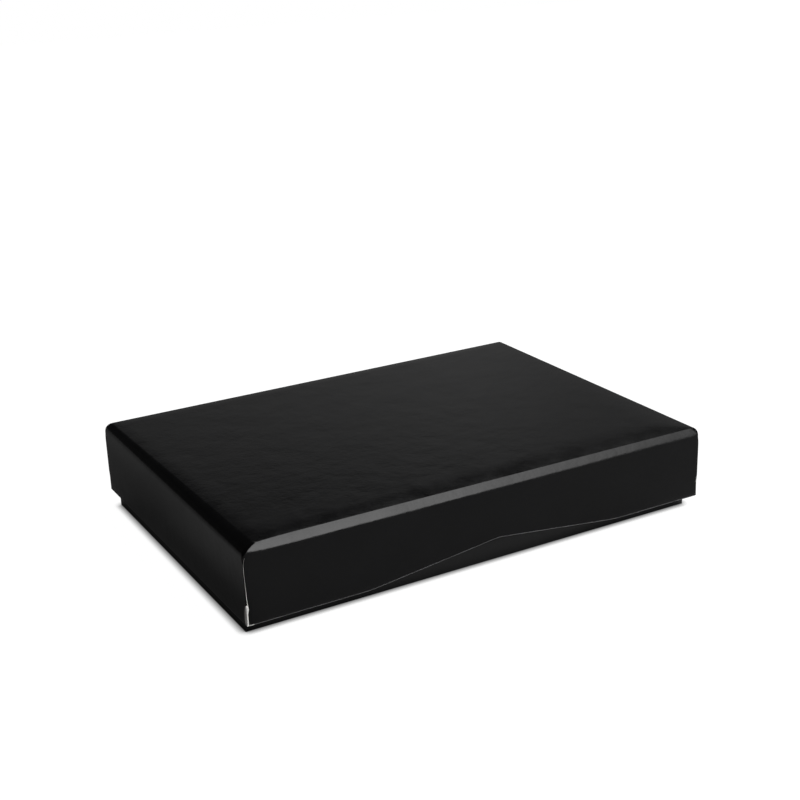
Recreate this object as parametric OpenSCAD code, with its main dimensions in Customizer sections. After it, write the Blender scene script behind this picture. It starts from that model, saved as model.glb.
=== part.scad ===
// Two-piece gift box: a papered board cover with a peaked thumb cut, over a papered board tray.
// The tray stands on z = 0, centred on the origin. The front faces -Y.

/* [Cover] */
// Outside width of the cover, left to right
cover_w = 178; // [130:1:260]
// Outside depth of the cover, front to back
cover_d = 127; // [90:1:200]
// Height of the cover, from the lower edge of its walls to its top face
cover_h = 26.8; // [18:0.2:45]
// Outside radius of the folds round the cover's top
cover_fold_r = 3.3; // [2.5:0.1:5]

/* [Thumb cut] */
// Width of the peaked cut along the cover's lower edge
cut_w = 98; // [60:1:110]
// Height of the cut's peak above the cover's lower edge
cut_rise = 5.8; // [3:0.1:9]
// Place of the peak to the right of the cover's middle
cut_x = 3; // [-5:0.5:5]
// Radius that rounds the peak of the cut
cut_peak_r = 14; // [8:1:60]
// Radius that rounds the two shoulders of the cut
cut_shoulder_r = 50; // [20:1:100]

/* [Tray] */
// Height of the tray wall that shows below the cover
foot_h = 5; // [3:0.1:12]
// Outside radius of the folds round the tray's bottom
tray_fold_r = 1.6; // [1.4:0.1:3]
// Gap between tray and cover at the left and right ends
end_gap = 0.4; // [0.3:0.05:1]
// Gap between tray and cover at the front and back
side_gap = 4.4; // [0.3:0.1:8]
// Gap between the tray's rim and the inside of the closed cover's folds
rim_gap = 0.3; // [0.2:0.05:0.6]

/* [Board and paper] */
// Thickness of the board
board_t = 0.9; // [0.8:0.05:1.2]
// Thickness of the covering paper
paper_t = 0.15; // [0.1:0.01:0.2]
// Thickness of the lining paper
lining_t = 0.15; // [0.1:0.01:0.2]
// Length of wall that the lining covers beyond the inside fold
lining_lap = 3; // [1:0.5:6]
// Radius of the upright corners, outside the paper
corner_r = 0.8; // [0.6:0.05:1]
// Width of the slit between two board walls at a corner
corner_slit = 0.2; // [0.1:0.05:0.4]

/* [Corners] */
// Thickness of the paper stay on each board corner
stay_t = 0.12; // [0.08:0.01:0.2]
// Length of each leg of a stay
stay_leg = 12; // [6:0.5:20]
// Length of the ear of covering paper that is folded round a corner
ear_leg = 10; // [5:0.5:20]
// Distance from the corner to the edge of a front or back panel, below the fold
seam_top = 0.3; // [0.1:0.05:0.8]
// Distance from the corner to the edge of a front or back panel, at the open edge
seam_open = 1.6; // [0.9:0.1:3]
// Radius of a front or back panel's corners at the open edge
seam_r = 1.2; // [0.5:0.1:2]

/* [Hidden] */
// Smoothness of the drawn curves
$fn = 96;
// How far a cutting shape reaches past the surface that it cuts
past = 1;
// Smallest radius of an inside corner
least_r = 0.15;
// Number of straight steps in each arc of the thumb cut
arc_steps = 6;

// Thickness of a papered wall: board with covering paper outside and turned in
wall_t = board_t + 2 * paper_t;
tray_w = cover_w - 2 * (wall_t + end_gap);
tray_d = cover_d - 2 * (wall_t + side_gap);

// Radius of the lined inside of the cover's folds
inside_fold_r = cover_fold_r - paper_t - board_t - lining_t;
// How far out from the folds' axis, and how far up from it, the tray's rim reaches
rim_reach = max(cover_fold_r - wall_t - min(end_gap, side_gap), 0);
rim_rise = sqrt(max(pow(inside_fold_r - rim_gap, 2) - pow(rim_reach, 2), 0));
tray_h = foot_h + cover_h - cover_fold_r + rim_rise;

// Slope of the thumb cut's two straight sides
cut_slope = atan(2 * cut_rise / cut_w);
// Length that each shoulder's rounding takes up on both sides of the shoulder
cut_shoulder_run = cut_shoulder_r * tan(cut_slope / 2);

// Corners of a shell, as left or right and front or back
CORNERS = [[-1, -1], [1, -1], [-1, 1], [1, 1]];
CORNER_NAMES = ["front_left", "front_right", "back_left", "back_right"];

// ---- Outlines ----

// Rectangle on the X axis whose two upper corners are rounded
module folded_profile(width, height, radius) {
    translate([-width / 2, 0]) square([width, height - radius]);
    translate([radius - width / 2, 0]) square([width - 2 * radius, height]);
    for (side = [-1, 1]) {
        translate([side * (width / 2 - radius), height - radius]) circle(radius);
    }
}

// Centred rectangle with four rounded corners
module rounded_rectangle(width, depth, radius) {
    square([width - 2 * radius, depth], center = true);
    square([width, depth - 2 * radius], center = true);
    for (corner = CORNERS) {
        translate([corner[0] * (width / 2 - radius), corner[1] * (depth / 2 - radius)]) circle(radius);
    }
}

// Points along an arc from one angle to another, in equal steps
function arc(centre, radius, from, to) =
    [
        for (i = [0:arc_steps])
            let (angle = from + (to - from) * i / arc_steps)
                centre + radius * [cos(angle), sin(angle)]
    ];

// Outline of the thumb cut, with the cover's lower edge along the X axis
module thumb_cut_profile() {
    shoulder_x = cut_w / 2 + cut_shoulder_run;
    left_shoulder = arc([-shoulder_x, cut_shoulder_r], cut_shoulder_r, -90, -90 + cut_slope);
    peak = arc([0, cut_rise - cut_peak_r / cos(cut_slope)], cut_peak_r, 90 + cut_slope, 90 - cut_slope);
    right_shoulder = arc([shoulder_x, cut_shoulder_r], cut_shoulder_r, -90 - cut_slope, -90);
    polygon(concat(
        [[-shoulder_x, -past]],
        left_shoulder,
        peak,
        right_shoulder,
        [[shoulder_x, -past]]
    ));
}

// Outline of a front or back panel of covering paper: tapered, with rounded corners at the open edge
module panel_profile(width, height) {
    half_open = width / 2 - seam_open;
    half_top = width / 2 - seam_top;
    lean = (half_top - half_open) / height;
    difference() {
        polygon([
            [-half_open, 0],
            [half_open, 0],
            [half_top, height],
            [-half_top, height]
        ]);
        for (side = [0, 1]) mirror([side, 0]) translate([half_open - seam_r, 0]) difference() {
            translate([0, -past]) square([seam_r + past, seam_r + past]);
            translate([lean * seam_r, seam_r]) circle(seam_r);
            translate([-past, seam_r]) square([seam_r + 2 * past, past]);
        }
    }
}

// ---- Blocks, open side at z = 0 ----

// Solid block with folds of one radius round its top and upright corners of another
module folded_block(width, depth, height, fold_r, upright_r) {
    intersection() {
        rotate([90, 0, 0]) linear_extrude(depth, center = true) folded_profile(width, height, fold_r);
        rotate([90, 0, 90]) linear_extrude(width, center = true) folded_profile(depth, height, fold_r);
        linear_extrude(height) rounded_rectangle(width, depth, upright_r);
    }
}

// Part of space from one height to another, for cutting a block
module slab(width, depth, z_low, z_high) {
    translate([0, 0, (z_low + z_high) / 2])
        cube([width + 2 * past, depth + 2 * past, z_high - z_low], center = true);
}

// Prism through the front wall in the shape of the thumb cut, raised by lift
module thumb_cut(depth, lift) {
    translate([cut_x, 0, lift]) rotate([90, 0, 0]) linear_extrude(depth / 2 + past) thumb_cut_profile();
}

// ---- Layers of a papered shell, open side at z = 0. The tray is the same shell turned over. ----

// Block filled by the board's outside, before it is hollowed
module board_outside(width, depth, height, fold_r) {
    folded_block(
        width - 2 * paper_t, depth - 2 * paper_t, height - paper_t, fold_r - paper_t, corner_r - paper_t
    );
}

// Hollow inside the board, drawn in by inset
module board_inside(width, depth, height, fold_r, inset) {
    in = paper_t + board_t + inset;
    folded_block(width - 2 * in, depth - 2 * in, height - in, max(fold_r - in, least_r), least_r);
}

// Height at which the turned-in paper ends and the lining begins
function turn_in_h(height, fold_r) = height - fold_r - lining_lap;

// Ring round the board's corners, one stay thick, at one corner of the shell
module stay_at(width, depth, height, fold_r, corner) {
    ring_w = width - 2 * paper_t;
    ring_d = depth - 4 * paper_t;
    translate([0, 0, paper_t]) linear_extrude(height - fold_r - paper_t) intersection() {
        difference() {
            rounded_rectangle(ring_w, ring_d, corner_r - paper_t);
            rounded_rectangle(ring_w - 2 * stay_t, ring_d - 2 * stay_t, corner_r - paper_t - stay_t);
        }
        translate([corner[0] * ring_w / 2, corner[1] * ring_d / 2]) square(2 * stay_leg, center = true);
    }
}

// Shallow step in the front and back of the board, where the ears of covering paper lie
module ear_step_at(width, depth, height, fold_r, corner) {
    translate([0, 0, paper_t]) linear_extrude(height - fold_r - paper_t) intersection() {
        difference() {
            square([width, depth], center = true);
            rounded_rectangle(width - 2 * paper_t, depth - 4 * paper_t, corner_r - paper_t);
        }
        translate([corner[0] * width / 2, corner[1] * depth / 2]) square(2 * ear_leg, center = true);
    }
}

// Board with its steps for stays and ears, and its walls still joined at the corners
module board_blank(width, depth, height, fold_r, has_cut) {
    difference() {
        board_outside(width, depth, height, fold_r);
        board_inside(width, depth, height, fold_r, 0);
        slab(width, depth, -past, paper_t);
        for (corner = CORNERS) {
            stay_at(width, depth, height, fold_r, corner);
            ear_step_at(width, depth, height, fold_r, corner);
        }
        if (has_cut) thumb_cut(depth, paper_t);
    }
}

// Finished board: slits part the front and back walls from the end walls, up to the folds
module shell_board(width, depth, height, fold_r, has_cut) {
    inner_x = width / 2 - paper_t - board_t;
    difference() {
        board_blank(width, depth, height, fold_r, has_cut);
        for (side = [0, 1]) mirror([side, 0, 0]) {
            translate([inner_x - corner_slit, -depth / 2 - past, -past])
                cube([corner_slit, depth + 2 * past, height - fold_r + past]);
        }
    }
}

// Outside of the covering paper: end walls whose ears reach round the corners, and the panels over them
module wrap_outside(width, depth, height, fold_r) {
    intersection() {
        folded_block(width, depth - 2 * paper_t, height, fold_r, corner_r);
        slab(width, depth, 0, height - fold_r);
    }
    intersection() {
        folded_block(width, depth, height, fold_r, corner_r);
        union() {
            rotate([90, 0, 0]) linear_extrude(depth + 2 * past, center = true)
                panel_profile(width, height - fold_r);
            slab(width, depth, height - fold_r, height + past);
        }
    }
}

// Covering paper: all that lies between its outside, the board and stays, and the hollow
module shell_wrap(width, depth, height, fold_r, has_cut) {
    turn_in = turn_in_h(height, fold_r);
    difference() {
        wrap_outside(width, depth, height, fold_r);
        board_blank(width, depth, height, fold_r, has_cut);
        for (corner = CORNERS) stay_at(width, depth, height, fold_r, corner);
        intersection() {
            board_inside(width, depth, height, fold_r, paper_t);
            slab(width, depth, -past, turn_in);
        }
        intersection() {
            board_inside(width, depth, height, fold_r, 0);
            slab(width, depth, turn_in, height);
        }
        if (has_cut) thumb_cut(depth, 0);
    }
}

// Lining: a shallow pan of paper over the panel, its folds and the top of each wall
module shell_lining(width, depth, height, fold_r) {
    difference() {
        board_inside(width, depth, height, fold_r, 0);
        board_inside(width, depth, height, fold_r, lining_t);
        slab(width, depth, -past, turn_in_h(height, fold_r));
    }
}

// ---- Sub-parts ----

// Puts a shell over the tray, at the height where the cover rests
module as_cover() {
    translate([0, 0, foot_h]) children();
}

// Turns a shell over, so that its panel is the floor of the tray
module as_tray() {
    translate([0, 0, tray_h]) mirror([0, 0, 1]) children();
}

module cover_board() {
    color("#8f8678") as_cover() shell_board(cover_w, cover_d, cover_h, cover_fold_r, true);
}

module cover_wrap() {
    color("#1c1c1e") as_cover() shell_wrap(cover_w, cover_d, cover_h, cover_fold_r, true);
}

module cover_lining() {
    color("#141415") as_cover() shell_lining(cover_w, cover_d, cover_h, cover_fold_r);
}

module cover_stay(corner) {
    color("#b08d5f") as_cover() stay_at(cover_w, cover_d, cover_h, cover_fold_r, corner);
}

module tray_board() {
    color("#8f8678") as_tray() shell_board(tray_w, tray_d, tray_h, tray_fold_r, false);
}

module tray_wrap() {
    color("#1c1c1e") as_tray() shell_wrap(tray_w, tray_d, tray_h, tray_fold_r, false);
}

module tray_lining() {
    color("#141415") as_tray() shell_lining(tray_w, tray_d, tray_h, tray_fold_r);
}

module tray_stay(corner) {
    color("#b08d5f") as_tray() stay_at(tray_w, tray_d, tray_h, tray_fold_r, corner);
}

tray_board();
tray_wrap();
tray_lining();
for (i = [0:3]) {
    tray_stay(CORNERS[i]);
}
cover_board();
cover_wrap();
cover_lining();
for (i = [0:3]) {
    cover_stay(CORNERS[i]);
}
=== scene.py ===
"""Looks of a two-piece gift box: a papered cover with a peaked thumb cut, over a papered tray."""

import math

import bmesh
import bpy
import numpy as np
from bpy.props import FloatProperty, FloatVectorProperty, PointerProperty
from mathutils import Matrix, Vector


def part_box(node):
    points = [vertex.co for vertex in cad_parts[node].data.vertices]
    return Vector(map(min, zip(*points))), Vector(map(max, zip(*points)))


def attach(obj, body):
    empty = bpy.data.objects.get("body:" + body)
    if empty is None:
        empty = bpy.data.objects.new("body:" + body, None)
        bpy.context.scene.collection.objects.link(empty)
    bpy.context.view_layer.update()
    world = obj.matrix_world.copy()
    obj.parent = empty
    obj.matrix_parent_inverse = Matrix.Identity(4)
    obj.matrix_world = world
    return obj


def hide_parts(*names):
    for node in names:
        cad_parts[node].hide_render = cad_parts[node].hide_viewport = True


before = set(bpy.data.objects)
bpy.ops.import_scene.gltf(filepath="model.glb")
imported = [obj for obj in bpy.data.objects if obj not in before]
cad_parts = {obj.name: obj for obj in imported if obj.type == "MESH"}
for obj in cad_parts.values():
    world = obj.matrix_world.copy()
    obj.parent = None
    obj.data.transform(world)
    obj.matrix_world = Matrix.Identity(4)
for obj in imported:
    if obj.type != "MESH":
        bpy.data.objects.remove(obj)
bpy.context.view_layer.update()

bl_info = {
    "name": "Papered gift box",
    "version": (1, 0, 0),
    "blender": (4, 5, 0),
    "location": "3D View > Sidebar > Gift Box",
    "description": "Builds the paper, board and studio of a lift-off gift box on its packed frame",
    "category": "Object",
}

MM = 0.001

COVER_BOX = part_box("cover_wrap")
TRAY_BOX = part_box("tray_wrap")

# The four sides of a shell, in the order in which a ring runs round it
FRONT, RIGHT, BACK, LEFT = range(4)


# ---------------------------------------------------------------- settings


def length(name, description, default):
    """A length in metres that shows its unit."""
    return FloatProperty(name=name, description=description, default=default, min=0, unit="LENGTH")


def colour(name, description, default):
    """A colour as the shader takes it."""
    return FloatVectorProperty(
        name=name, description=description, default=default, size=3, subtype="COLOR", min=0, max=1
    )


class GiftBoxSizes(bpy.types.PropertyGroup):
    """Sizes of paper and board"""

    paper_t: length("Paper", "Thickness of the covering paper", 0.15 * MM)
    board_t: length("Board", "Thickness of the board", 0.9 * MM)
    corner_r: length("Corner", "Radius of the upright corners", 0.1 * MM)
    fold_corner_r: length("Fold corner", "Radius of the corners of the cover's creases", 0.9 * MM)
    wall_corner_r: length("Wall corner", "Radius of the corners where the cover's folds end", 0.7 * MM)
    panel_corner_r: length("Top corner", "Radius of the corners of the flat top", 6 * MM)
    fold_drop: length("Fold drop", "Height of the cover's folds", 4.1 * MM)
    front_reach_left: length("Front crease, left", "From the front wall to it, at the left", 1.8 * MM)
    front_reach_right: length("Front crease, right", "From the front wall to it, at the right", 1.0 * MM)
    front_crease_left: length("Front dip, left", "Depth of the front crease, at the left", 0.23 * MM)
    front_crease_right: length("Front dip, right", "Depth of the front crease, at the right", 0.5 * MM)
    front_shoulder_left: length("Front shoulder, left", "Depth that the bevel aims at, left", 2.0 * MM)
    front_shoulder_right: length("Front shoulder, right", "Depth that the bevel aims at, right", 3.3 * MM)
    tip_run: length("Tip", "Length over which the front crease bends down to the near corner", 14 * MM)
    tip_pull: length("Tip pull", "How far the crease nears the wall at the near corner", 0.6 * MM)
    side_crease: length("Side dip", "Depth of the other creases below the top", 0.177 * MM)
    back_reach: length("Back crease", "From the back wall to it", 2.0 * MM)
    right_reach: length("Right crease", "From the right wall to it", 2.2 * MM)
    left_reach_front: length("Left crease, front", "From the left wall to it, at the front", 4.5 * MM)
    left_reach_back: length("Left crease, back", "From the left wall to it, at the back", 2.6 * MM)
    cover_inner_fold: length("Cover inside", "Radius of the folds inside the cover", 3.3 * MM)
    tray_inner_fold: length("Tray inside", "Radius of the folds inside the tray", 1.6 * MM)
    tray_fold: length("Tray fold", "Radius of the folds round the tray's bottom", 0.2 * MM)
    edge_r: length("Turned edge", "Radius of the paper where it turns over an open edge", 0.4 * MM)
    edge_low: length("Edge", "How far the cover's edge hangs lower than in the frame", 0.2 * MM)
    lining_lap: length("Lining lap", "From an inner fold to the end of the turned-in paper", 3 * MM)
    worn_corner: length("Worn corner", "How much rounder the corners are near the open edge", 0.5 * MM)
    curl: length("Curl", "How far the front panel's edge sinks in at the near corner", 0.14 * MM)
    curl_run: length("Curl run", "Width of the panel that sinks in there", 1.7 * MM)
    cut_w: length("Cut width", "Width of the thumb cut along the lower edge", 98 * MM)
    cut_rise: length("Cut height", "Height of the thumb cut's peak", 5.8 * MM)
    cut_x: FloatProperty(
        name="Cut place", description="Place of the peak from the middle", default=3 * MM, unit="LENGTH"
    )
    cut_peak_r: length("Cut peak", "Radius that rounds the peak of the cut", 14 * MM)
    cut_shoulder_r: length("Cut shoulder", "Radius that rounds the cut's shoulders", 50 * MM)


class GiftBoxColours(bpy.types.PropertyGroup):
    """Colours of paper, board and floor"""

    paper: colour("Covering paper", "Black face of the covering paper", (0.0012, 0.0012, 0.0014))
    # Lighter paper along the turned open edges and the tray's seams: a painted highlight
    edge_highlight: colour("Worn edge", "Covering paper rubbed along its turned edges", (0.075, 0.075, 0.078))
    core: colour("Paper core", "White core of the paper, where it is cut", (0.84, 0.83, 0.80))
    lining: colour("Lining", "Lining paper", (0.012, 0.012, 0.013))
    board: colour("Board", "Grey board", (0.30, 0.27, 0.23))
    stay: colour("Stay", "Brown paper of the corner stays", (0.36, 0.23, 0.12))
    floor: colour("Floor", "Floor of the studio", (0.44, 0.44, 0.44))


class GiftBoxStudio(bpy.types.PropertyGroup):
    """Strength of the lights"""

    lamp: FloatProperty(name="Light panel", description="Strength of the curved panel", default=6.2, min=0)
    glow: FloatProperty(name="Low glow", description="Strength of the low glow", default=0.44, min=0)
    dusk: FloatProperty(name="Dim sky", description="Strength of the whole sky", default=0.03, min=0)


# ---------------------------------------------------------------- folds and edges


class Fold:
    """Profile of a fold, from the flat panel down to the wall.

    The panel bows gently down to a crease, which lies reach in from the wall and crease below the panel. A
    curve leads from there to the wall. It sets out as if to meet the wall at the shoulder's depth, and ends
    at drop. Shares 0 to 1 run over the bow and 1 to 2 over the curve.
    """

    BOW_TILT = math.radians(4.2)

    def __init__(self, reach, crease, shoulder, drop):
        self.reach = reach
        self.crease = crease
        self.shoulder = shoulder
        self.drop = drop
        self.bow = 2 * crease / math.tan(self.BOW_TILT)

    def point(self, share):
        """Distance in from the wall, depth below the panel and tilt."""
        if share < 1:
            slope = math.tan(self.BOW_TILT) * share
            return self.reach + self.bow * (1 - share), self.crease * share * share, math.atan(slope)
        along = share - 1
        ahead = 1 - along
        inset = self.reach * ahead * ahead
        depth = ahead**2 * self.crease + 2 * along * ahead * self.shoulder + along**2 * self.drop
        down = ahead * (self.shoulder - self.crease) + along * (self.drop - self.shoulder)
        return inset, depth, math.atan2(down, ahead * self.reach)


class RoundFold:
    """Profile of a plain round fold. Only the round, shares 1 to 2, has a length."""

    def __init__(self, radius):
        self.radius = self.drop = radius

    def point(self, share):
        """Distance in from the wall, depth below the panel and tilt."""
        tilt = math.pi / 2 * max(share - 1, 0)
        return self.radius * (1 - math.sin(tilt)), self.radius * (1 - math.cos(tilt)), tilt


def between(start, end, share):
    """Value at a share of the way from start to end."""
    return start + (end - start) * share


# Slope with which the side folds leave their creases
SIDE_SLOPE = math.tan(math.radians(12))


def cover_fold(s, side, share):
    """The cover's fold at a share of a side's length."""
    if side == FRONT:
        near = max(1 - share * (COVER_BOX[1].x - COVER_BOX[0].x) / s.tip_run, 0) ** 2
        reach = between(s.front_reach_left, s.front_reach_right, share) - s.tip_pull * near
        crease = between(s.front_crease_left, s.front_crease_right, share)
        shoulder = between(s.front_shoulder_left, s.front_shoulder_right, share)
        return Fold(reach, crease, shoulder, s.fold_drop)
    reach = {
        RIGHT: s.right_reach,
        BACK: s.back_reach,
        LEFT: between(s.left_reach_back, s.left_reach_front, share),
    }[side]
    crease = between(s.front_crease_right, s.side_crease, share) if side == RIGHT else s.side_crease
    return Fold(reach, crease, crease + reach * SIDE_SLOPE, s.fold_drop)


# Distance of a front or back panel's edge from the corner, by height above the open edge, in millimetres
SEAM = (
    (0, 0.75),
    (0.6, 0.5),
    (1.6, 0.4),
    (3.9, 0.55),
    (5.5, 0.98),
    (7.2, 0.8),
    (9, 0.62),
    (14, 0.38),
    (18, 0.24),
    (23, 0.2),
)

# Length of the bare paper core on the left wall, from the end of the corner's round, by the same height
CORE = ((0, 0.2), (0.6, 0.6), (1.6, 0.9), (3.9, 0.7), (5.4, 0.15), (6.2, 0.02), (23, 0.02))

# Width of the seam's white line, by the same height
SEAM_LINE = ((0, 0.1), (6, 0.2), (9, 0.11), (12.5, 0.065), (16, 0.042), (23, 0.045))


def looked_up(table, h):
    """Value of a table in millimetres at a height in metres."""
    heights, values = zip(*table)
    return float(np.interp(h / MM, heights, values)) * MM


def cut_height(x, s):
    """Height of the thumb cut above the cover's lower edge at x."""
    slope = math.atan(2 * s.cut_rise / s.cut_w)
    run = s.cut_shoulder_r * math.tan(slope / 2)
    out = abs(x - s.cut_x)
    if out < s.cut_peak_r * math.sin(slope):
        return s.cut_rise - s.cut_peak_r / math.cos(slope) + math.sqrt(s.cut_peak_r**2 - out**2)
    shoulder_x = s.cut_w / 2 + run
    if out < shoulder_x - s.cut_shoulder_r * math.sin(slope):
        return math.tan(slope) * (s.cut_w / 2 - out)
    if out < shoulder_x:
        return s.cut_shoulder_r - math.sqrt(s.cut_shoulder_r**2 - (shoulder_x - out) ** 2)
    return 0.0


# ---------------------------------------------------------------- shells


class Shell:
    """Outline of a papered shell that is open at h = 0 and closed at h = height.

    A ring is a closed row of points round it. Its columns keep their order, so that rings join into faces.
    """

    # Least width of a seam
    STEP = 0.02 * MM
    CORNER_STEPS = 10
    SIDE_STEPS = 36
    PANEL_STEPS = 72
    # The cover's panels have closer columns this far to both sides of the cut's peak
    PEAK_SPAN = 6 * MM
    PEAK_STEPS = 24
    # Shares of a panel's width with a column of their own, for the curl and the hook at the near corner
    NEAR_SHARES = (0.0015, 0.003, 0.006, 0.01)

    def __init__(self, box, fold_at, fold_shares, sizes, is_cover):
        lowest, highest = box
        self.half_x = (highest.x - lowest.x) / 2
        self.half_y = (highest.y - lowest.y) / 2
        self.height = highest.z - lowest.z
        self.fold_at = fold_at
        self.fold_shares = fold_shares
        self.drop = fold_at(FRONT, 0.5).drop
        self.sizes = sizes
        self.is_cover = is_cover
        self.columns = self.make_columns()

    def make_columns(self):
        """Every column as (kind, side, share), round the shell from the front's left end."""
        s = self.sizes
        panel = list(np.linspace(0, 1, self.PANEL_STEPS + 1))
        if self.is_cover:
            peak = 0.5 + s.cut_x / (2 * self.half_x)
            near = self.PEAK_SPAN / (2 * self.half_x)
            panel = [f for f in panel if abs(f - peak) > near]
            panel += list(np.linspace(peak - near, peak + near, self.PEAK_STEPS + 1))
            panel = sorted(panel + list(self.NEAR_SHARES))
        columns = []
        for side in (FRONT, RIGHT, BACK, LEFT):
            if side in (FRONT, BACK):
                columns += [("ear_start", side, f) for f in (0, 0.5, 1)]
                columns += [("panel", side, f) for f in panel]
                columns += [("ear_end", side, f) for f in (0, 0.5, 1)]
            else:
                columns += [("end", side, f) for f in np.linspace(0, 1, self.SIDE_STEPS + 1)[:-1]]
                columns += [("core", side, 1)] if side == LEFT and self.is_cover else []
                columns += [("end", side, 1)]
            columns += [("corner", side, f) for f in np.linspace(0, 1, self.CORNER_STEPS + 1)[1:-1]]
        return columns

    def turn_in_end(self):
        """Height at which the turned-in paper ends and the lining begins."""
        s = self.sizes
        return self.height - s.lining_lap - (s.cover_inner_fold if self.is_cover else s.tray_inner_fold)

    def panel_half(self, h):
        """Half the width of a front or back panel at height h."""
        return self.half_x - looked_up(SEAM, h)

    def low(self, side, x):
        """Height of the open edge."""
        if not self.is_cover:
            return 0.0
        return (cut_height(x, self.sizes) if side == FRONT else 0.0) - self.sizes.edge_low

    def ring(self, place, radius, ear_drop=0.0):
        """Points of a ring.

        place(fold, low) gives the ring's inset and height, and radius is that of its corners. Ears and
        corners lie ear_drop further in than the panels do.
        """
        ends = [[place(self.fold_at(side, end), 0.0)[0] for end in (0, 1)] for side in range(4)]
        points = []
        for kind, side, share in self.columns:
            if kind == "corner":
                points.append(self.corner_point(side, share, place, radius, ear_drop))
            elif kind in ("end", "core"):
                points.append(self.end_point(kind, side, share, place, radius, ear_drop, ends))
            else:
                points.append(self.panel_point(kind, side, share, place, radius, ear_drop, ends))
        return points

    def panel_point(self, kind, side, share, place, radius, ear_drop, ends):
        """A point of the front or back: on the panel, or on the ear at one of its ends."""
        sign = 1 if side == FRONT else -1
        before, after = (LEFT, RIGHT) if side == FRONT else (RIGHT, LEFT)
        start = self.half_x - ends[before][1] - radius
        end = self.half_x - ends[after][0] - radius
        h = place(self.fold_at(side, 0.5), 0.0)[1]
        line = min(looked_up(SEAM_LINE, h), self.half_x - radius - self.panel_half(h))
        line = max(line, self.STEP)
        half = min(self.panel_half(h), min(start, end) - 2 * line)
        if kind == "ear_start":
            x = -start + (start - half - line) * share
        elif kind == "ear_end":
            x = half + line + (end - half - line) * share
        else:
            x = -half + 2 * half * share
        fold = self.fold_at(side, (x + start) / (start + end))
        x *= sign
        e, h = place(fold, self.low(side, x))
        if kind != "panel":
            e += ear_drop
        elif ear_drop and side == FRONT:
            e += self.sizes.curl * max(1 - (x + half) / self.sizes.curl_run, 0) ** 2
        return (x, -sign * (self.half_y - e), h)

    def end_point(self, kind, side, share, place, radius, ear_drop, ends):
        """A point of the left or right wall."""
        sign = 1 if side == RIGHT else -1
        before, after = (FRONT, BACK) if side == RIGHT else (BACK, FRONT)
        start = self.half_y - ends[before][1] - radius - ear_drop
        end = self.half_y - ends[after][0] - radius - ear_drop
        if kind == "core":
            h = place(self.fold_at(side, 1), 0.0)[1]
            share = 1 - (looked_up(CORE, h) * share + self.STEP) / (start + end)
        e, h = place(self.fold_at(side, share), self.low(side, 0.0))
        return (sign * (self.half_x - e), (-start + (start + end) * share) * sign, h)

    def corner_point(self, side, share, place, radius, ear_drop):
        """A point of the round corner that follows a side."""
        following = (side + 1) % 4
        e1, h1 = place(self.fold_at(side, 1), self.low(BACK, 0.0))
        e2, h2 = place(self.fold_at(following, 0), self.low(BACK, 0.0))
        sx = 1 if side in (FRONT, RIGHT) else -1
        sy = -1 if side in (FRONT, LEFT) else 1
        ey, ex = (e1, e2) if side in (FRONT, BACK) else (e2, e1)
        cx = sx * (self.half_x - ex - radius)
        cy = sy * (self.half_y - ey - ear_drop - radius)
        start = {FRONT: -90, RIGHT: 0, BACK: 90, LEFT: 180}[side]
        angle = math.radians(start + 90 * share)
        blend = share * share * (3 - 2 * share)
        return (cx + radius * math.cos(angle), cy + radius * math.sin(angle), h1 + (h2 - h1) * blend)


# Angle between two faces from which the edge between them stays sharp
SHARP = math.radians(38)


def ring_mesh(name, rings, to_frame, marks):
    """A closed mesh through the rings, with a flat panel at each end.

    marks(row, column) gives the material of a face.
    """
    count = len(rings[0])
    vertices = [to_frame(p) for ring in rings for p in ring]
    faces = [tuple(range(count))]
    slots = [0]
    for row in range(len(rings) - 1):
        for column in range(count):
            a, b = row * count + column, row * count + (column + 1) % count
            faces.append((a, b, b + count, a + count))
            slots.append(marks(row, column))
    last = (len(rings) - 1) * count
    faces.append(tuple(last + i for i in reversed(range(count))))
    slots.append(0)
    mesh = bpy.data.meshes.new(name)
    mesh.from_pydata(vertices, [], faces)
    mesh.polygons.foreach_set("material_index", slots)
    shell = bmesh.new()
    shell.from_mesh(mesh)
    bmesh.ops.recalc_face_normals(shell, faces=shell.faces)
    shell.to_mesh(mesh)
    shell.free()
    mesh.polygons.foreach_set("use_smooth", [True] * len(mesh.polygons))
    mesh.set_sharp_from_angle(angle=SHARP)
    piece = bpy.data.objects.new(name, mesh)
    bpy.context.scene.collection.objects.link(piece)
    return piece


# Least radius of a corner on the inside
INSIDE_R = 0.15 * MM
# Rings over a fold, as shares of its bow (0 to 1) and of its curve (1 to 2)
BOW_SHARES = (0, 0.25, 0.5, 0.7, 0.85, 0.96)
CURVE_SHARES = tuple(1 + i / 20 for i in range(21))
# Rings down a wall, closer where the bare core and the round of the near corner change
WALL_SHARES = (0.06, 0.12, 0.2, 0.3, 0.5, 0.6, 0.665, 0.68, 0.7, 0.76, 0.83, 0.89, 0.93, 0.955, 0.974, 1)
# Rings over each half of the paper's turn round the open edge
TURN_ANGLES = [math.radians(a) for a in (18, 36, 54, 72, 90)]
# Rings up the turned-in paper
TURN_IN_SHARES = (0, 0.33, 0.66, 1)
# Share of the wall where the bare core begins at the near corner
CORE_START = 0.7
# Share of the wall over which the corners tighten below the fold
TIGHTEN = 0.1
# Share of the wall where its corners begin to be worn, and the share over which the wear grows
WORN_START, WORN_RUN = 0.66, 0.08


def fold_ring(shell, share, depth, ear=0.0, past=0.0):
    """Ring at a share of the fold, depth below the outside of the paper and past further in."""

    def place(fold, low):
        e, d, tilt = fold.point(share)
        return e + depth * math.sin(tilt) + past, shell.height - d - depth * math.cos(tilt)

    s = shell.sizes
    radius = s.corner_r
    if shell.is_cover and share < 1:
        radius = between(s.panel_corner_r, s.fold_corner_r, share)
    elif shell.is_cover:
        radius = between(s.fold_corner_r, s.wall_corner_r, share - 1)
    return shell.ring(place, max(radius - depth, INSIDE_R), ear)


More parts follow.
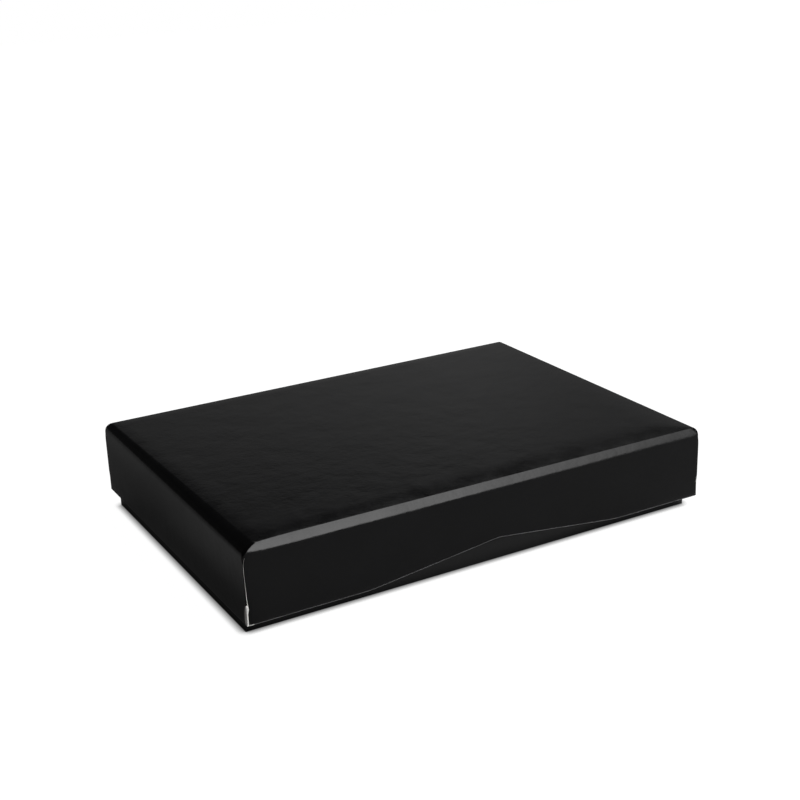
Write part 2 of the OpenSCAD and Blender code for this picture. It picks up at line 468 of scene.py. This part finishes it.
def wall_ring(shell, inset, share, bottom, ear=0.0):
    """Ring on a wall: share 0 is at the end of the fold, and 1 at bottom above the open edge."""
    s = shell.sizes
    wall_top = shell.height - shell.drop
    radius = s.corner_r
    if shell.is_cover:
        radius = between(s.corner_r, s.wall_corner_r, max(1 - share / TIGHTEN, 0))
        radius += s.worn_corner * min(max((share - WORN_START) / WORN_RUN, 0), 1)
    radius = max(radius - inset, INSIDE_R)
    return shell.ring(lambda fold, low: (inset, between(wall_top, low + bottom, share)), radius, ear)


def turn_ring(shell, angle, inside):
    """Ring on the paper's turn over the open edge, on its outer or inner half."""
    s = shell.sizes
    away = s.edge_r * (1 - math.cos(angle))
    rise = s.edge_r * (1 - math.sin(angle))
    inset = s.board_t + 2 * s.paper_t - away if inside else away
    radius = INSIDE_R if inside else max(s.corner_r - away, INSIDE_R)
    return shell.ring(lambda fold, low: (inset, low + rise), radius, s.paper_t)


def turned_in_ring(shell, share):
    """Ring on the turned-in paper: share 0 is at the end of the turn, and 1 at the end of the paper."""
    s = shell.sizes
    wall_t = s.board_t + 2 * s.paper_t
    end = shell.turn_in_end()
    return shell.ring(lambda fold, low: (wall_t, between(low + s.edge_r, end, share)), INSIDE_R)


def paper_rings(shell):
    """Rings of the covering paper, over panel, fold, wall and open edge and back along its inside.

    Returns them and the rows where the outer wall starts, where it ends and where the outer turn ends.
    """
    s = shell.sizes
    t = s.paper_t
    rings = [fold_ring(shell, shell.fold_shares[0], 0, past=MM)]
    for share in shell.fold_shares:
        # The ears sink under the panels over the last third of the curve
        fade = min(max(3 * (share - 2) + 1, 0), 1)
        rings.append(fold_ring(shell, share, 0, t * fade))
    wall_start = len(rings) - 1
    for share in WALL_SHARES:
        rings.append(wall_ring(shell, 0, share, s.edge_r, t))
    wall_end = len(rings) - 1
    for angle in TURN_ANGLES:
        rings.append(turn_ring(shell, angle, False))
    turn_end = len(rings) - 1
    for angle in reversed(TURN_ANGLES):
        rings.append(turn_ring(shell, angle, True))

    # Turned-in paper, its end, and back along both sides of the board
    for share in TURN_IN_SHARES:
        rings.append(turned_in_ring(shell, share))
    end = shell.turn_in_end()
    rings.append(shell.ring(lambda fold, low: (t + s.board_t, end), INSIDE_R))
    rings.append(shell.ring(lambda fold, low: (t + s.board_t, low + t), INSIDE_R))
    rings.append(shell.ring(lambda fold, low: (t, low + t), s.corner_r - t, t))
    for share in reversed(shell.fold_shares):
        rings.append(fold_ring(shell, share, t, t if share == 2 else 0.0))
    return rings, wall_start, wall_end, turn_end


def card_rings(shell, inner_shell):
    """Rings of the cover's board: paper on its outside, and plain round folds on its inside."""
    s = shell.sizes
    t = s.paper_t
    deep = t + s.board_t
    rings = [fold_ring(shell, share, t) for share in shell.fold_shares]
    rings += [wall_ring(shell, t, share, t, t) for share in (0.3, 0.6, 1)]
    rings += [wall_ring(shell, deep, share, t) for share in (1, 0.6, 0.3)]
    rings += [fold_ring(inner_shell, share, deep) for share in reversed(inner_shell.fold_shares)]
    return rings


# ---------------------------------------------------------------- shader groups


def new_group(name, inputs, outputs):
    """An empty node group with float inputs, as (name, default), and float outputs."""
    group = bpy.data.node_groups.new(name, "ShaderNodeTree")
    for socket, default in inputs:
        made = group.interface.new_socket(name=socket, in_out="INPUT", socket_type="NodeSocketFloat")
        made.default_value = default
    for socket in outputs:
        group.interface.new_socket(name=socket, in_out="OUTPUT", socket_type="NodeSocketFloat")
    return group, group.nodes.new("NodeGroupInput"), group.nodes.new("NodeGroupOutput")


def math_node(tree, operation, first, second, clamp=False):
    """A Math node, whose inputs are sockets or numbers. Returns its output."""
    node = tree.nodes.new("ShaderNodeMath")
    node.operation = operation
    node.use_clamp = clamp
    for socket, value in zip(node.inputs, (first, second)):
        if isinstance(value, (int, float)):
            socket.default_value = value
        else:
            tree.links.new(value, socket)
    return node.outputs[0]


def range_node(tree, value, low, high, out_low, out_high, smooth=False):
    """A Map Range node. Returns its output."""
    node = tree.nodes.new("ShaderNodeMapRange")
    if smooth:
        node.interpolation_type = "SMOOTHSTEP"
    tree.links.new(value, node.inputs["Value"])
    node.inputs["From Min"].default_value = low
    node.inputs["From Max"].default_value = high
    node.inputs["To Min"].default_value = out_low
    node.inputs["To Max"].default_value = out_high
    return node.outputs["Result"]


def noise_node(tree, vector, scale, detail, roughness=0.5):
    """A Noise Texture node whose scale is a socket. Returns its value."""
    node = tree.nodes.new("ShaderNodeTexNoise")
    node.inputs["Detail"].default_value = detail
    node.inputs["Roughness"].default_value = roughness
    tree.links.new(vector, node.inputs["Vector"])
    tree.links.new(scale, node.inputs["Scale"])
    return node.outputs["Fac"]


def stretched(tree, vector, stretch):
    """Object coordinates drawn out along an axis."""
    node = tree.nodes.new("ShaderNodeMapping")
    node.inputs["Scale"].default_value = stretch
    tree.links.new(vector, node.inputs["Vector"])
    return node.outputs["Vector"]


def fibre_group():
    """Paper fibres: fine grain, drawn-out fibres and wide soft patches, each about 0.5."""
    found = bpy.data.node_groups.get("paper_fibres")
    if found:
        return found
    inputs = [("Grain per metre", 2600.0), ("Patches per metre", 90.0)]
    group, given, result = new_group("paper_fibres", inputs, ["Grain", "Fibres", "Patches"])
    place = group.nodes.new("ShaderNodeTexCoord").outputs["Object"]
    grain = noise_node(group, place, given.outputs["Grain per metre"], 2.0)
    along = stretched(group, place, (0.22, 1.0, 1.0))
    fibres = noise_node(group, along, given.outputs["Grain per metre"], 1.0)
    patches = noise_node(group, place, given.outputs["Patches per metre"], 4.0, 0.62)
    group.links.new(grain, result.inputs["Grain"])
    group.links.new(fibres, result.inputs["Fibres"])
    group.links.new(patches, result.inputs["Patches"])
    return group


def tinted(tree, rgb, value, spread):
    """A colour that a value near 0.5 makes darker or lighter by a share."""
    node = tree.nodes.new("ShaderNodeMix")
    node.data_type = "RGBA"
    node.inputs["A"].default_value = (*[c * (1 - spread) for c in rgb], 1)
    node.inputs["B"].default_value = (*[min(c * (1 + spread), 1) for c in rgb], 1)
    tree.links.new(value, node.inputs["Factor"])
    return node.outputs["Result"]


def paper_material(
    name,
    rgb,
    rough,
    rough_spread=0.05,
    ior=1.5,
    spread=0.2,
    relief=0.01,
    waves=0.0,
    grain=2600.0,
    patches=90.0,
):
    """A paper or board whose fibres vary its colour, gloss and relief.

    Spread is the share by which the colour varies, relief the height of the fibres in millimetres, and
    waves the height of the patches as a multiple of that.
    """
    material = bpy.data.materials.new(name)
    material.use_nodes = True
    tree = material.node_tree
    shader = tree.nodes["Principled BSDF"]
    fibres = tree.nodes.new("ShaderNodeGroup")
    fibres.node_tree = fibre_group()
    fibres.inputs["Grain per metre"].default_value = grain
    fibres.inputs["Patches per metre"].default_value = patches
    both = math_node(tree, "ADD", fibres.outputs["Fibres"], fibres.outputs["Patches"])
    tone = range_node(tree, math_node(tree, "MULTIPLY", both, 0.5), 0.35, 0.65, 0, 1)
    tree.links.new(tinted(tree, rgb, tone, spread), shader.inputs["Base Color"])
    low, high = rough - rough_spread, rough + rough_spread
    soft = range_node(tree, fibres.outputs["Patches"], 0.3, 0.7, low, high)
    tree.links.new(soft, shader.inputs["Roughness"])
    shader.inputs["IOR"].default_value = ior
    bump = tree.nodes.new("ShaderNodeBump")
    bump.inputs["Strength"].default_value = 1.0
    bump.inputs["Distance"].default_value = relief * MM
    height = math_node(tree, "ADD", fibres.outputs["Grain"], fibres.outputs["Fibres"])
    height = math_node(tree, "ADD", height, math_node(tree, "MULTIPLY", fibres.outputs["Patches"], waves))
    tree.links.new(height, bump.inputs["Height"])
    tree.links.new(bump.outputs["Normal"], shader.inputs["Normal"])
    return material


def settings():
    """The scene's sizes, colours and light strengths."""
    scene = bpy.context.scene
    return scene.gift_box_sizes, scene.gift_box_colours, scene.gift_box_studio


def black_papers(colours):
    """Materials of a papered shell: its face, its lighter turned edges with a painted highlight, and its cut
    core.
    """
    names = ("black_paper", "black_paper_edge_highlight", "black_paper_core")
    if bpy.data.materials.get(names[0]):
        return [bpy.data.materials[n] for n in names]
    face, edge_highlight, core = names
    return [
        paper_material(face, colours.paper, 0.17, 0.045, ior=1.3, spread=0.35, relief=0.002, waves=65.0),
        paper_material(edge_highlight, colours.edge_highlight, 0.5, ior=1.3, spread=0.45, relief=0.02, grain=1500),
        paper_material(core, colours.core, 0.8, ior=1.4, spread=0.05, relief=0.03),
    ]


# ---------------------------------------------------------------- operators


# Materials of a papered shell, in the order of its slots; the second paints a highlight on the turned edges
FACE, EDGE_HIGHLIGHT, CORE_SLOT = range(3)
# Share of the front panel's width along which the core shows as a hook on the lower edge
HOOK = 0.008
# Borders between an ear and a panel
SEAM_KINDS = ({"ear_start", "panel"}, {"panel", "ear_end"})


class GIFTBOX_OT_cover_paper(bpy.types.Operator):
    """Cover's papered skin, with soft folds, tapered seams, turned edge and thumb cut"""

    bl_idname = "giftbox.cover_paper"
    bl_label = "Cover paper"

    def execute(self, context):
        sizes, colours, _ = settings()
        shell = cover_shell(sizes)
        rings, wall_start, wall_end, turn_end = paper_rings(shell)
        kinds, sides, shares = zip(*shell.columns)
        count = len(kinds)
        bare = {i for i in range(count) if kinds[i] in ("corner", "core") and sides[i] == LEFT}
        bare |= {i for i in range(count) if kinds[i] == "ear_start" and sides[i] == FRONT}
        bare.add((min(i for i in bare if kinds[i] == "corner") - 1) % count)
        hook = {i for i in range(count) if kinds[i] == "panel" and sides[i] == FRONT and shares[i] < HOOK}
        core_start = wall_start + 1 + WALL_SHARES.index(CORE_START)

        def marks(row, column):
            following = (column + 1) % count
            seam = {kinds[column], kinds[following]} in SEAM_KINDS
            if seam and wall_start - 2 <= row <= turn_end:
                return CORE_SLOT
            if core_start <= row <= turn_end and column in bare and following in bare:
                return CORE_SLOT
            if wall_end <= row < wall_end + 2 and column in hook:
                return CORE_SLOT
            # The outer turn round the open edge gets the lighter paper, a painted highlight along the lower
            # edge
            return EDGE_HIGHLIGHT if wall_end <= row < turn_end else FACE

        low = COVER_BOX[0].z
        piece = ring_mesh("cover_paper", rings, lambda p: (p[0], p[1], low + p[2]), marks)
        for material in black_papers(colours):
            piece.data.materials.append(material)
        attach(piece, "cover")
        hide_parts("cover_wrap")
        return {"FINISHED"}


class GIFTBOX_OT_cover_card(bpy.types.Operator):
    """Cover's board, under the paper"""

    bl_idname = "giftbox.cover_card"
    bl_label = "Cover board"

    def execute(self, context):
        sizes, colours, _ = settings()
        fold = RoundFold(sizes.cover_inner_fold)
        inner = Shell(COVER_BOX, lambda side, share: fold, CURVE_SHARES, sizes, True)
        rings = card_rings(cover_shell(sizes), inner)
        low = COVER_BOX[0].z
        piece = ring_mesh("cover_card", rings, lambda p: (p[0], p[1], low + p[2]), lambda row, column: 0)
        piece.data.materials.append(board_material(colours))
        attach(piece, "cover")
        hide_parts("cover_board")
        return {"FINISHED"}


class GIFTBOX_OT_tray_paper(bpy.types.Operator):
    """Tray's papered skin, the cover's in small and turned over"""

    bl_idname = "giftbox.tray_paper"
    bl_label = "Tray paper"

    def execute(self, context):
        sizes, colours, _ = settings()
        fold = RoundFold(sizes.tray_fold)
        shares = [1 + i / 8 for i in range(9)]
        shell = Shell(TRAY_BOX, lambda side, share: fold, shares, sizes, False)
        rings, _, wall_end, turn_end = paper_rings(shell)
        kinds = [kind for kind, _, _ in shell.columns]

        def marks(row, column):
            following = (column + 1) % len(kinds)
            seam = {kinds[column], kinds[following]} in SEAM_KINDS
            # The seams and the outer turn round the open edge get the lighter paper, a painted highlight
            return EDGE_HIGHLIGHT if seam or wall_end <= row < turn_end else FACE

        top = TRAY_BOX[1].z
        piece = ring_mesh("tray_paper", rings, lambda p: (p[0], -p[1], top - p[2]), marks)
        for material in black_papers(colours):
            piece.data.materials.append(material)
        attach(piece, "tray")
        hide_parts("tray_wrap")
        return {"FINISHED"}


class GIFTBOX_OT_inner_parts(bpy.types.Operator):
    """Finish of the boards, linings and corner stays inside the paper"""

    bl_idname = "giftbox.inner_parts"
    bl_label = "Inner parts"

    def execute(self, context):
        _, colours, _ = settings()
        finishes = {
            "board": board_material(colours),
            "lining": lining_material(colours),
            "stay": stay_material(colours),
        }
        for name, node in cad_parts.items():
            for word, material in finishes.items():
                if word in name:
                    node.data.materials.clear()
                    node.data.materials.append(material)
        return {"FINISHED"}


class GIFTBOX_OT_studio(bpy.types.Operator):
    """Floor, light panel, sky and camera"""

    bl_idname = "giftbox.studio"
    bl_label = "Studio"

    def execute(self, context):
        _, colours, studio = settings()
        make_floor(colours)
        make_light_panel(studio)
        make_sky(studio)
        make_camera()
        context.scene.view_settings.view_transform = "Standard"
        return {"FINISHED"}


# ---------------------------------------------------------------- helpers of the operators


def cover_shell(sizes):
    """Outline of the cover's outside."""

    def fold_at(side, share):
        return cover_fold(sizes, side, share)

    return Shell(COVER_BOX, fold_at, BOW_SHARES + CURVE_SHARES, sizes, True)


def lining_material(colours):
    """Black lining paper."""
    return paper_material("black_lining", colours.lining, 0.55, ior=1.35, spread=0.3, relief=0.02)


def stay_material(colours):
    """Brown paper of the corner stays."""
    return paper_material("brown_stay", colours.stay, 0.7, spread=0.25, relief=0.03, grain=1400)


def board_material(colours):
    """Grey board, made once."""
    return bpy.data.materials.get("grey_board") or paper_material(
        "grey_board", colours.board, 0.85, spread=0.18, relief=0.05, grain=900, patches=300
    )


def light_path(tree):
    """One for camera rays, and one for glossy and transmission rays. Returns both."""
    path = tree.nodes.new("ShaderNodeLightPath")
    glossy, through = path.outputs["Is Glossy Ray"], path.outputs["Is Transmission Ray"]
    return path.outputs["Is Camera Ray"], math_node(tree, "ADD", glossy, through, clamp=True)


# Shares of the floor's colour: close in front of the box, to its left, and there behind its middle, near the
# wall and far from it. The darker floor is painted shadow and the lighter floor in front is painted light,
# both seen in the box's reflections
FLOOR_FRONT = 2.1
FLOOR_BESIDE = 0.44
FLOOR_BEHIND_NEAR, FLOOR_BEHIND_FAR = 0.11, 0.26

# Where the colour changes from one of them to the next, as ranges of X or Y in metres
LEFT_RANGE = (-0.095, -0.075)
FAR_RANGE = (-0.113, -0.103)
BEHIND_RANGE = (0.0, 0.075)
FRONT_RANGE = (-0.074, -0.068)


def floor_with_painted_light(tree, colours):
    """Floor colour for rays other than the camera's: painted shadow left of the box, painted light in front.
    """
    place = tree.nodes.new("ShaderNodeSeparateXYZ")
    tree.links.new(tree.nodes.new("ShaderNodeTexCoord").outputs["Object"], place.inputs[0])
    x, y = place.outputs["X"], place.outputs["Y"]
    behind = range_node(tree, y, *BEHIND_RANGE, 0, 1, smooth=True)
    far = range_node(tree, x, *FAR_RANGE, FLOOR_BEHIND_FAR, FLOOR_BEHIND_NEAR, smooth=True)
    darker = math_node(tree, "MULTIPLY", behind, math_node(tree, "SUBTRACT", far, FLOOR_BESIDE))
    beside = math_node(tree, "ADD", darker, FLOOR_BESIDE)
    left = range_node(tree, x, *LEFT_RANGE, 0, 1, smooth=True)
    front = range_node(tree, y, *FRONT_RANGE, 1, FLOOR_FRONT, smooth=True)
    open_side = math_node(tree, "MULTIPLY", left, front)
    dark_side = math_node(tree, "MULTIPLY", math_node(tree, "SUBTRACT", 1.0, left), beside)
    share = math_node(tree, "ADD", open_side, dark_side)
    node = tree.nodes.new("ShaderNodeMix")
    node.data_type = "RGBA"
    node.clamp_factor = False
    node.inputs["A"].default_value = (0, 0, 0, 1)
    node.inputs["B"].default_value = (*colours.floor, 1)
    tree.links.new(share, node.inputs["Factor"])
    return node.outputs["Result"]


def occlusion_node(tree, distance):
    """How open the floor is within a distance: one in the open, half beside a wall."""
    node = tree.nodes.new("ShaderNodeAmbientOcclusion")
    node.inputs["Distance"].default_value = distance
    node.samples = 16
    return node.outputs["AO"]


# Half the floor's width in metres
FLOOR_HALF = 2.0

# Share of the floor's colour that camera rays meet, and its own light in the part's reflections
FLOOR_SEEN = 0.2
FLOOR_REFLECTED = 0.05

# The shade under the box: how far the close and the wide one reach, how steep the close one is, and how much
# light the wide one leaves at least
CLOSE_REACH, WIDE_REACH = 3 * MM, 8 * MM
CLOSE_POWER = 2.2
WIDE_LEAST = 0.45


def make_floor(colours):
    """A pale floor that the camera sees as white, darker only close under the box."""
    material = bpy.data.materials.new("studio_floor")
    material.use_nodes = True
    tree = material.node_tree
    tree.nodes.remove(tree.nodes["Principled BSDF"])
    output = tree.nodes["Material Output"]
    camera, seen_in = light_path(tree)

    # Close under the walls, and wider where the cover stands out over the tray
    close = occlusion_node(tree, CLOSE_REACH)
    wide = occlusion_node(tree, WIDE_REACH)
    under = range_node(tree, wide, 0.0, 0.5, WIDE_LEAST, 1.0)
    clear = math_node(tree, "MULTIPLY", math_node(tree, "POWER", close, CLOSE_POWER), under)

    diffuse = tree.nodes.new("ShaderNodeBsdfDiffuse")
    pale = tree.nodes.new("ShaderNodeMix")
    pale.data_type = "RGBA"
    tree.links.new(floor_with_painted_light(tree, colours), pale.inputs["A"])
    pale.inputs["B"].default_value = (*[c * FLOOR_SEEN for c in colours.floor], 1)
    tree.links.new(camera, pale.inputs["Factor"])
    tree.links.new(pale.outputs["Result"], diffuse.inputs["Color"])

    emission = tree.nodes.new("ShaderNodeEmission")
    level = math_node(tree, "ADD", camera, math_node(tree, "MULTIPLY", seen_in, FLOOR_REFLECTED))
    tree.links.new(math_node(tree, "MULTIPLY", level, clear), emission.inputs["Strength"])
    both = tree.nodes.new("ShaderNodeAddShader")
    tree.links.new(diffuse.outputs[0], both.inputs[0])
    tree.links.new(emission.outputs[0], both.inputs[1])
    tree.links.new(both.outputs[0], output.inputs["Surface"])

    half = FLOOR_HALF
    corners = [(-half, -half, 0), (half, -half, 0), (half, half, 0), (-half, half, 0)]
    mesh = bpy.data.meshes.new("studio_floor")
    mesh.from_pydata(corners, [], [(0, 1, 2, 3)])
    mesh.materials.append(material)
    floor = bpy.data.objects.new("studio_floor", mesh)
    bpy.context.scene.collection.objects.link(floor)


# The light panel lies on a ball of this radius, round the box
LIGHT_RADIUS = 4.0
# Its left and right edges, as shares of the radius, and its front and back ends, as angles over the horizon
LIGHT_X = (0.27, 0.66)
LIGHT_ENDS = (math.radians(3), math.radians(139))
# Faces across and along it
LIGHT_STEPS = (8, 40)
# Its strength along: 1 + rise * f + bend * f * f, where f is the place forwards as a share of the scale
LIGHT_RISE, LIGHT_BEND = 0.66, -0.22
LIGHT_SCALE = 0.87 * LIGHT_RADIUS
# Its strength across falls from full to a share between two places
LIGHT_FALL = (0.38 * LIGHT_RADIUS, 0.61 * LIGHT_RADIUS)
LIGHT_LEAST = 0.34


def light_panel_mesh():
    """The panel, a curved strip from low in front over the top to the back."""
    across, along = LIGHT_STEPS
    vertices, faces = [], []
    for x in np.linspace(*LIGHT_X, across + 1):
        ring = LIGHT_RADIUS * math.sqrt(1 - x * x)
        for angle in np.linspace(*LIGHT_ENDS, along + 1):
            vertices.append((LIGHT_RADIUS * x, -ring * math.cos(angle), ring * math.sin(angle)))
    for i in range(across):
        for j in range(along):
            a = i * (along + 1) + j
            faces.append((a, a + along + 1, a + along + 2, a + 1))
    mesh = bpy.data.meshes.new("light_panel")
    mesh.from_pydata(vertices, [], faces)
    return mesh


def make_light_panel(studio):
    """A long curved light panel to the right of the box, strongest in front and along its left edge."""
    material = bpy.data.materials.new("light_panel")
    material.use_nodes = True
    tree = material.node_tree
    tree.nodes.remove(tree.nodes["Principled BSDF"])
    emission = tree.nodes.new("ShaderNodeEmission")
    place = tree.nodes.new("ShaderNodeSeparateXYZ")
    tree.links.new(tree.nodes.new("ShaderNodeTexCoord").outputs["Object"], place.inputs[0])

    forward = math_node(tree, "MULTIPLY", place.outputs["Y"], -1 / LIGHT_SCALE)
    rising = math_node(tree, "ADD", math_node(tree, "MULTIPLY", forward, LIGHT_RISE), 1.0)
    bending = math_node(tree, "MULTIPLY", math_node(tree, "MULTIPLY", forward, forward), LIGHT_BEND)
    along = math_node(tree, "ADD", rising, bending)
    across = range_node(tree, place.outputs["X"], *LIGHT_FALL, studio.lamp, LIGHT_LEAST * studio.lamp)
    tree.links.new(math_node(tree, "MULTIPLY", along, across), emission.inputs["Strength"])
    tree.links.new(emission.outputs[0], tree.nodes["Material Output"].inputs["Surface"])

    mesh = light_panel_mesh()
    mesh.materials.append(material)
    panel = bpy.data.objects.new("light_panel", mesh)
    panel.visible_camera = False
    bpy.context.scene.collection.objects.link(panel)


def make_sky(studio):
    """A dim sky with a low glow on the right. The camera sees it white."""
    world = bpy.data.worlds.new("studio_sky")
    bpy.context.scene.world = world
    world.use_nodes = True
    tree = world.node_tree
    background = tree.nodes["Background"]
    camera, _ = light_path(tree)
    direction = tree.nodes.new("ShaderNodeSeparateXYZ")
    tree.links.new(tree.nodes.new("ShaderNodeTexCoord").outputs["Generated"], direction.inputs[0])
    # The glow fades out from 22 to 27 degrees over the horizon. It grows to the right up to X = 0.5, and is
    # about two thirds of that beyond X = 0.6.
    low = range_node(tree, direction.outputs["Z"], 0.37, 0.45, 1, 0, smooth=True)
    rising = range_node(tree, direction.outputs["X"], 0.0, 0.5, 0.03, 0.5)
    falling = range_node(tree, direction.outputs["X"], 0.5, 0.6, 1, 0.68, smooth=True)
    right = math_node(tree, "MULTIPLY", rising, falling)
    glow = math_node(tree, "MULTIPLY", math_node(tree, "MULTIPLY", low, right), studio.glow)
    dim = math_node(tree, "ADD", glow, studio.dusk)
    mix = tree.nodes.new("ShaderNodeMix")
    tree.links.new(camera, mix.inputs["Factor"])
    tree.links.new(dim, mix.inputs["A"])
    mix.inputs["B"].default_value = 1.0
    tree.links.new(mix.outputs["Result"], background.inputs["Strength"])
    background.inputs["Color"].default_value = (1, 1, 1, 1)


# Camera: its angles in degrees, its distance from the box's middle and its shift sideways and up from there
# in metres, and its lens in millimetres
AZIMUTH, ELEVATION, ROLL = -29.2589, 19.8217, -1.8694
DISTANCE = 0.51147
SHIFT_RIGHT, SHIFT_UP = 0.002099, 0.023697
LENS, SENSOR = 62.4155, 36
MIDDLE = Vector((0, 0, 0.0159))


def make_camera():
    """The camera, at the photographed angle."""
    azimuth, elevation, roll = (math.radians(angle) for angle in (AZIMUTH, ELEVATION, ROLL))
    level = math.cos(elevation)
    back = Vector((math.sin(azimuth) * level, -math.cos(azimuth) * level, math.sin(elevation)))
    right = Vector((math.cos(azimuth), math.sin(azimuth), 0))
    up = right.cross(-back)
    place = MIDDLE + back * DISTANCE + right * SHIFT_RIGHT + up * SHIFT_UP
    rolled_right = math.cos(roll) * right + math.sin(roll) * up
    rolled_up = -math.sin(roll) * right + math.cos(roll) * up
    data = bpy.data.cameras.new("camera")
    data.lens = LENS
    data.sensor_width = SENSOR
    camera = bpy.data.objects.new("camera", data)
    axes = Matrix((rolled_right, rolled_up, back)).transposed()
    camera.matrix_world = Matrix.Translation(place) @ axes.to_4x4()
    bpy.context.scene.collection.objects.link(camera)
    bpy.context.scene.camera = camera


# ---------------------------------------------------------------- panel and registration


class GIFTBOX_PT_panel(bpy.types.Panel):
    """Lists the steps that build the box"""

    bl_idname = "GIFTBOX_PT_panel"
    bl_label = "Gift Box"
    bl_space_type = "VIEW_3D"
    bl_region_type = "UI"
    bl_category = "Gift Box"

    def draw(self, context):
        for step in STEPS:
            self.layout.operator(step.bl_idname)


STEPS = (
    GIFTBOX_OT_cover_paper,
    GIFTBOX_OT_cover_card,
    GIFTBOX_OT_tray_paper,
    GIFTBOX_OT_inner_parts,
    GIFTBOX_OT_studio,
)
CLASSES = (GiftBoxSizes, GiftBoxColours, GiftBoxStudio, *STEPS, GIFTBOX_PT_panel)


def register():
    """Adds the settings, the steps and the panel."""
    for made in CLASSES:
        bpy.utils.register_class(made)
    bpy.types.Scene.gift_box_sizes = PointerProperty(type=GiftBoxSizes)
    bpy.types.Scene.gift_box_colours = PointerProperty(type=GiftBoxColours)
    bpy.types.Scene.gift_box_studio = PointerProperty(type=GiftBoxStudio)


def unregister():
    """Takes them away again."""
    del bpy.types.Scene.gift_box_studio
    del bpy.types.Scene.gift_box_colours
    del bpy.types.Scene.gift_box_sizes
    for made in reversed(CLASSES):
        bpy.utils.unregister_class(made)


def main():
    register()
    bpy.ops.giftbox.cover_paper()
    bpy.ops.giftbox.cover_card()
    bpy.ops.giftbox.tray_paper()
    bpy.ops.giftbox.inner_parts()
    bpy.ops.giftbox.studio()


if __name__ == "__main__":
    main()
